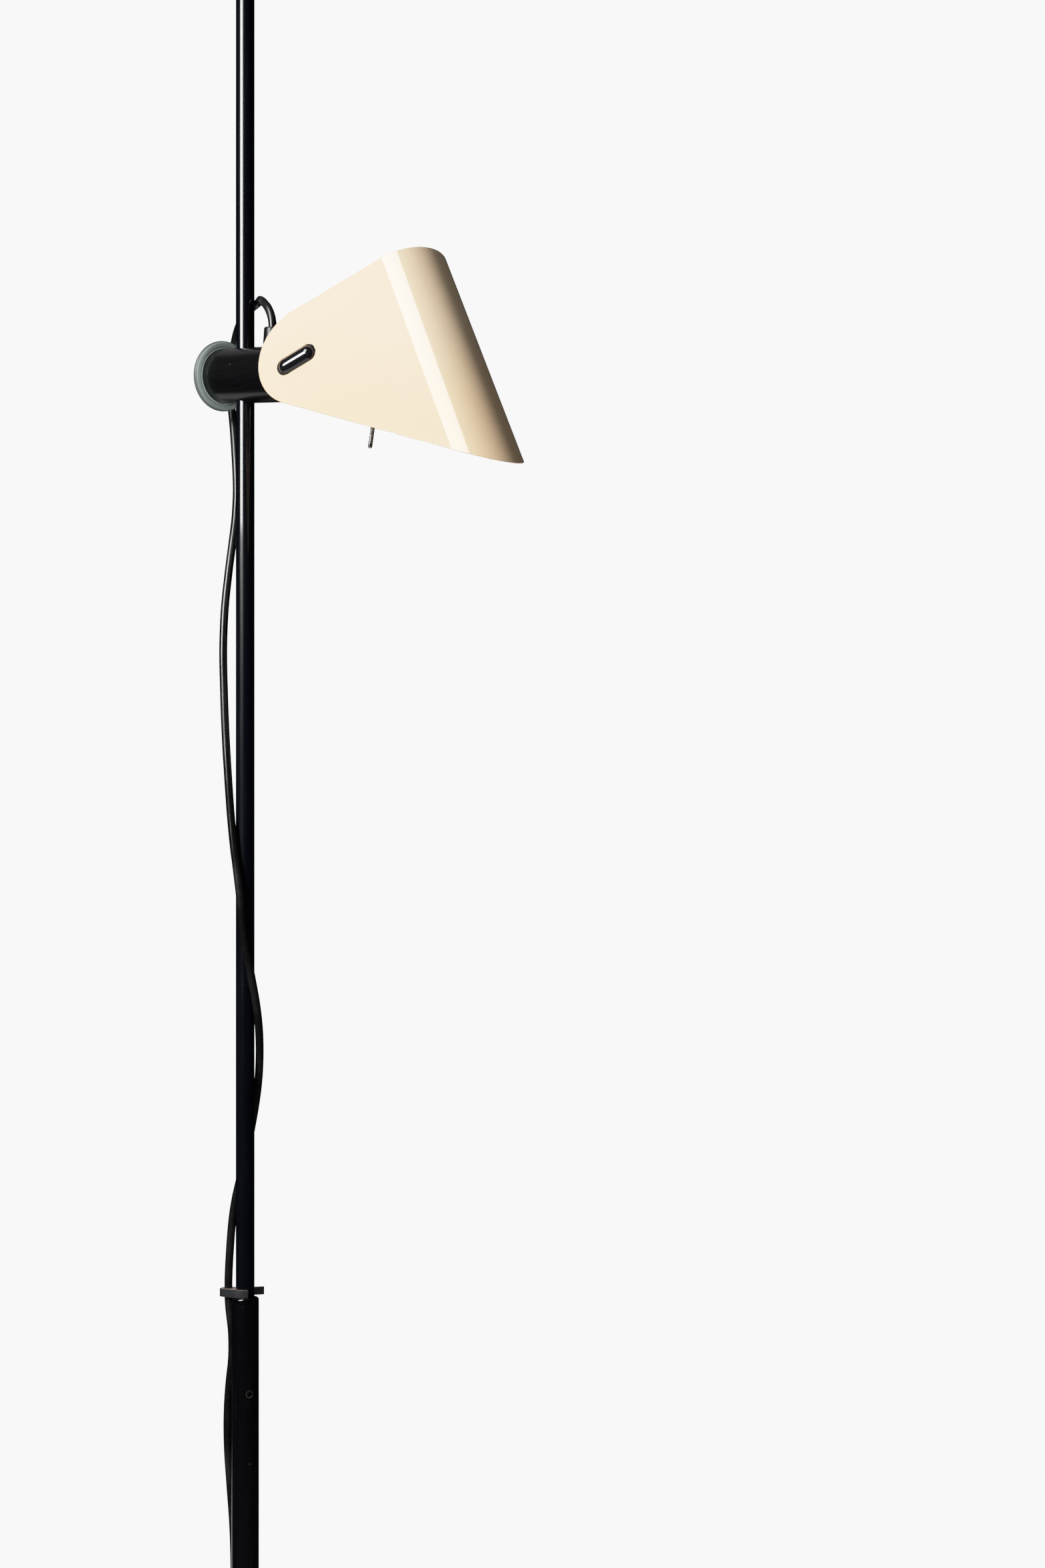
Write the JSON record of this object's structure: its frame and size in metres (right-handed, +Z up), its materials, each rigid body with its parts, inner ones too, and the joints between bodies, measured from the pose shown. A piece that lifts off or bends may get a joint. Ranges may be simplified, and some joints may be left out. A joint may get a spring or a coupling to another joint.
{
  "type": "tension pole floor lamp",
  "caption": "Black telescoping pole held between floor and ceiling, with a sliding, turning arm tube, a grey clamp knob, a tilting folded cream shade, a toggle and a black cord",
  "frame": {"origin": "middle of the floor pad's lower face", "axes": "+Z up the pole to the ceiling, +X out along the arm, +Y to the arm's left"},
  "size_m": [0.5438, 0.2066, 2.45],
  "materials": {
    "black_gloss": "gloss black enamel",
    "cream": "satin cream enamel",
    "disc_grey": "pale grey moulded plastic",
    "key_black": "gloss black moulded plastic",
    "rubber": "black rubber",
    "nylon": "black moulded nylon",
    "steel": "plated steel",
    "brass": "bare brass",
    "holder": "black moulded plastic",
    "bulb_glass": "opal glass",
    "cord_black": "black cable sheath"
  },
  "bodies": {
    "floor_post": {"floor_pad": "rubber", "foot_plug": "nylon", "lower_tube": "black_gloss", "tube_bush": "nylon", "cord_clip": "rubber", "cord_floor": "cord_black", "cord_coil": "cord_black", "coil_tie": "nylon", "plug_body": "cord_black", "plug_pin_left": "steel", "plug_pin_right": "steel"},
    "lock": {"lock_screw": "steel"},
    "upper_post": {"upper_tube": "black_gloss", "tube_guide": "nylon", "ceiling_housing": "black_gloss", "ceiling_cap": "nylon", "ceiling_spring": "steel", "cord_low": "cord_black"},
    "ceiling_foot": {"ceiling_plunger": "steel", "ceiling_pad": "rubber"},
    "arm_sleeve": {"pole_sleeve": "nylon", "cord_mid": "cord_black"},
    "arm": {"arm_tube": "black_gloss", "pole_block": "nylon", "clamp_nut": "brass", "cord_gland": "rubber", "gland_nut": "nylon", "inner_leads": "cord_black", "bar_bush_left": "nylon", "bar_bush_right": "nylon", "end_plug": "nylon", "lampholder": "holder", "lamp_shell": "brass", "centre_contact": "brass", "bulb_cap": "steel", "bulb_glass": "bulb_glass", "toggle_switch": "holder", "toggle_nut": "steel", "cord_top": "cord_black"},
    "saddle": {"clamp_saddle": "brass"},
    "clamp_knob": {"clamp_screw": "steel", "clamp_disc": "disc_grey"},
    "head": {"crossbar": "steel", "slot_key_left": "key_black", "slot_key_right": "key_black", "key_screw_left": "steel", "key_screw_right": "steel", "shade": "cream"},
    "toggle": {"toggle_lever": "holder"}
  },
  "joints": [
    {"name": "lock_turn", "type": "hinge", "parent": "floor_post", "child": "lock", "pos_m": [0.00999, -0.00325, 0.763], "axis": [0.9511, -0.309, 0], "range_deg": [0, 360]},
    {"name": "post_slide", "type": "slide", "parent": "floor_post", "child": "upper_post", "axis": [0, 0, 1], "range_m": [-0.3, 0.25], "deforming": ["cord_low"]},
    {"name": "ceiling_spring_slide", "type": "slide", "parent": "upper_post", "child": "ceiling_foot", "axis": [0, 0, 1], "range_m": [-0.025, 0], "stiffness_N_per_m": 3000, "springref_m": 0.02, "deforming": ["ceiling_spring"]},
    {"name": "arm_slide", "type": "slide", "parent": "upper_post", "child": "arm_sleeve", "axis": [0, 0, 1], "range_m": [-0.4, 0.45], "deforming": ["cord_mid"]},
    {"name": "arm_swivel", "type": "hinge", "parent": "arm_sleeve", "child": "arm", "pos_m": [0, 0, 1.69], "axis": [0, 0, 1], "range_deg": [-150, 150], "deforming": ["cord_top"]},
    {"name": "clamp_advance", "type": "slide", "parent": "arm", "child": "saddle", "axis": [0.9936, 0, -0.1132], "range_m": [-0.0025, 0]},
    {"name": "clamp_turn", "type": "hinge", "parent": "saddle", "child": "clamp_knob", "pos_m": [-0.03716, 0, 1.69423], "axis": [0.9936, 0, -0.1132], "range_deg": [-720, 0]},
    {"name": "shade_tilt", "type": "hinge", "parent": "arm", "child": "head", "pos_m": [0.17735, 0, 1.66979], "axis": [0, 1, 0], "range_deg": [-40, 60]},
    {"name": "toggle_throw", "type": "hinge", "parent": "arm", "child": "toggle", "pos_m": [0.18992, 0, 1.6432], "axis": [0, 1, 0], "range_deg": [-13, 0]}
  ],
  "couplings": [
    {"joint": "clamp_advance", "follows": "clamp_turn", "m_per_rad": 0.00019894}
  ]
}
